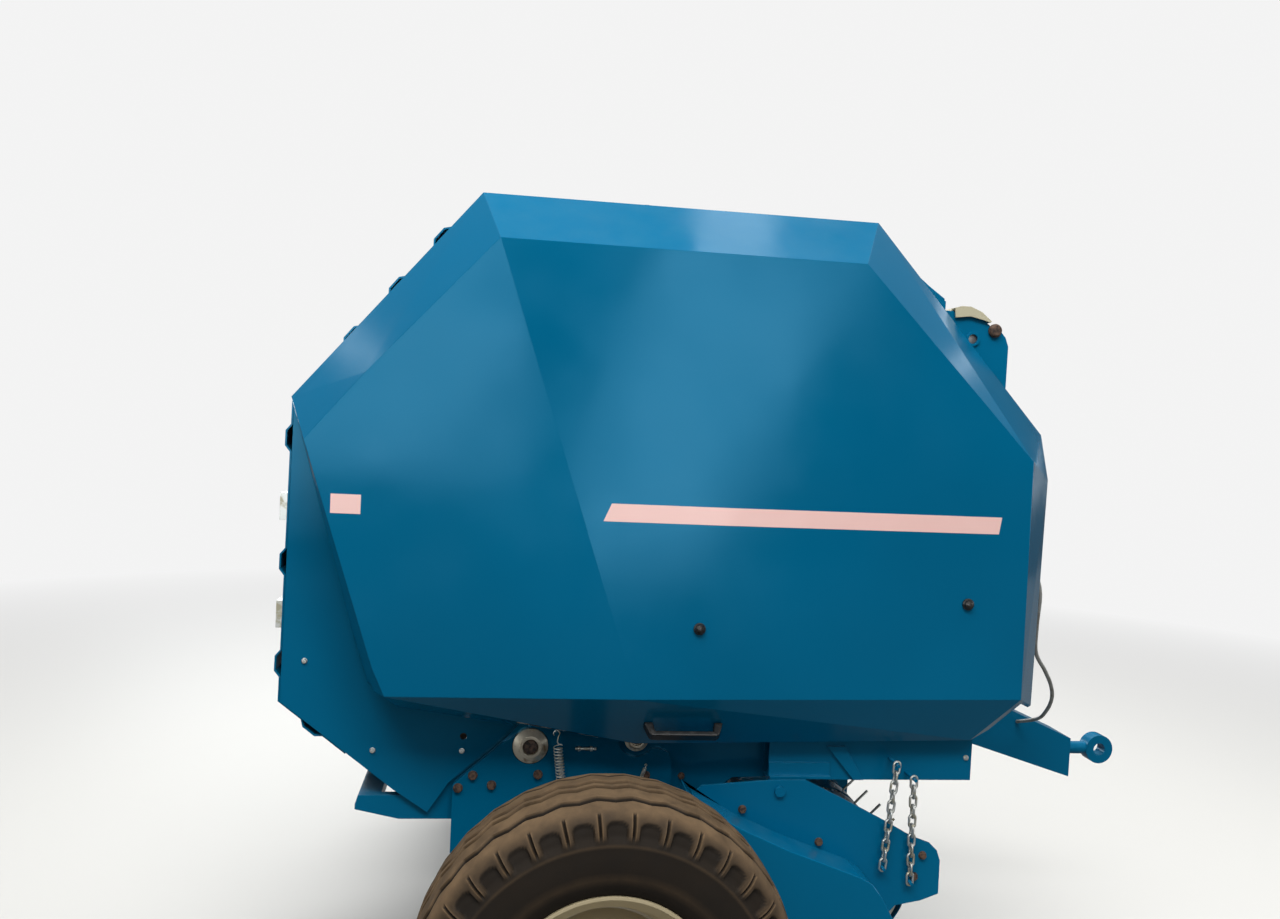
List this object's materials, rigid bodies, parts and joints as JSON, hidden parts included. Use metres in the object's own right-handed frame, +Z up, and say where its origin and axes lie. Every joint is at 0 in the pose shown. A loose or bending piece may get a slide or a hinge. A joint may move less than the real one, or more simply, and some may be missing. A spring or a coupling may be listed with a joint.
{
  "type": "round baler",
  "caption": "Compact round baler on two wheels with a hinged tailgate, two faceted side doors, a tined pick-up and a drawbar with a towing ring.",
  "frame": {"origin": "on the ground in the middle of the machine's length and width", "axes": "+X forward to the towing ring, +Y to the machine's left, +Z up"},
  "size_m": [2.324, 2.024, 1.9569],
  "materials": {
    "blue_paint": "smooth bright blue enamel, dusty",
    "cream_paint": "cream enamel, dusty",
    "bare_steel": "worn bare steel",
    "zinc_plate": "zinc plated steel",
    "black_rubber": "black rubber",
    "tyre_rubber": "dusty black tyre",
    "chain_steel": "oiled dark steel",
    "net_white": "white knitted plastic net",
    "black_plastic": "black moulded plastic"
  },
  "bodies": {
    "chassis": {"side_walls": "blue_paint", "main_frame": "blue_paint", "axle": "blue_paint", "drawbar": "blue_paint", "front_rollers": "bare_steel", "bearings": "zinc_plate", "roof": "blue_paint", "front_panel": "blue_paint", "net_box": "blue_paint", "net_roll": "net_white", "gearbox": "bare_steel", "pto_stub": "bare_steel", "cross_shaft": "bare_steel", "sprockets": "bare_steel", "drive_chains": "chain_steel", "tension_springs": "zinc_plate", "control_cable": "black_rubber", "lift_chains": "zinc_plate", "jack_sleeve": "blue_paint", "front_tray": "blue_paint"},
    "net_lid": {"net_lid": "cream_paint"},
    "door_right": {"door_right": "blue_paint", "handle_right": "black_plastic", "latches_right": "black_plastic"},
    "door_left": {"door_left": "blue_paint", "handle_left": "black_plastic", "latches_left": "black_plastic"},
    "tailgate": {"gate_walls": "blue_paint", "gate_cover": "blue_paint", "gate_rollers": "bare_steel", "gate_latches": "zinc_plate"},
    "barrel_right": {"barrel_right": "blue_paint"},
    "rod_right": {"rod_right": "zinc_plate"},
    "barrel_left": {"barrel_left": "blue_paint"},
    "rod_left": {"rod_left": "zinc_plate"},
    "pickup": {"pickup_frame": "blue_paint", "pickup_guards": "blue_paint", "crop_bands": "blue_paint"},
    "reel": {"tine_reel": "zinc_plate"},
    "tow_eye": {"tow_eye": "blue_paint"},
    "wheel_right": {"tyre_right": "tyre_rubber", "rim_right": "cream_paint"},
    "wheel_left": {"tyre_left": "tyre_rubber", "rim_left": "cream_paint"},
    "jack_leg": {"jack_leg": "blue_paint"}
  },
  "joints": [
    {"name": "gate_lift", "type": "hinge", "parent": "chassis", "child": "tailgate", "pos_m": [-0.38, 0, 1.905], "axis": [0, 1, 0], "range_deg": [0, 55]},
    {"name": "door_right_lift", "type": "hinge", "parent": "chassis", "child": "door_right", "pos_m": [-0.297, -0.529, 1.938], "axis": [-1, 0, 0], "range_deg": [0, 75]},
    {"name": "barrel_right_swing", "type": "hinge", "parent": "chassis", "child": "barrel_right", "pos_m": [-0.19, -0.55, 0.98], "axis": [0, -1, 0], "range_deg": [-2, 8]},
    {"name": "rod_right_slide", "type": "slide", "parent": "barrel_right", "child": "rod_right", "axis": [-0.4991, 0, 0.8665], "range_m": [0, 0.3201]},
    {"name": "wheel_right_spin", "type": "hinge", "parent": "chassis", "child": "wheel_right", "pos_m": [-0.44, -0.88, 0.38], "axis": [0, 1, 0], "continuous": true},
    {"name": "door_left_lift", "type": "hinge", "parent": "chassis", "child": "door_left", "pos_m": [-0.297, 0.529, 1.938], "axis": [1, 0, 0], "range_deg": [0, 75]},
    {"name": "barrel_left_swing", "type": "hinge", "parent": "chassis", "child": "barrel_left", "pos_m": [-0.19, 0.55, 0.98], "axis": [0, -1, 0], "range_deg": [-2, 8]},
    {"name": "rod_left_slide", "type": "slide", "parent": "barrel_left", "child": "rod_left", "axis": [-0.4991, 0, 0.8665], "range_m": [0, 0.3201]},
    {"name": "wheel_left_spin", "type": "hinge", "parent": "chassis", "child": "wheel_left", "pos_m": [-0.44, 0.88, 0.38], "axis": [0, 1, 0], "continuous": true},
    {"name": "pickup_lift", "type": "hinge", "parent": "chassis", "child": "pickup", "pos_m": [-0.02, 0, 0.64], "axis": [0, -1, 0], "range_deg": [0, 8], "deforming": ["lift_chains"]},
    {"name": "reel_spin", "type": "hinge", "parent": "pickup", "child": "reel", "pos_m": [0.18, 0, 0.4], "axis": [0, 1, 0], "continuous": true},
    {"name": "tow_eye_turn", "type": "hinge", "parent": "chassis", "child": "tow_eye", "pos_m": [1.003, 0, 0.556], "axis": [1, 0, 0], "range_deg": [-90, 90]},
    {"name": "net_lid_open", "type": "hinge", "parent": "chassis", "child": "net_lid", "pos_m": [0.36, 0, 1.756], "axis": [0, -1, 0], "range_deg": [0, 60]},
    {"name": "jack_slide", "type": "slide", "parent": "chassis", "child": "jack_leg", "axis": [0, 0, 1], "range_m": [0, 0.28]}
  ],
  "couplings": [
    {"joint": "rod_right_slide", "follows": "gate_lift", "m_per_rad": 0.33141},
    {"joint": "barrel_right_swing", "follows": "gate_lift", "ratio": 0.01681},
    {"joint": "rod_left_slide", "follows": "gate_lift", "m_per_rad": 0.33141},
    {"joint": "barrel_left_swing", "follows": "gate_lift", "ratio": 0.01681}
  ]
}
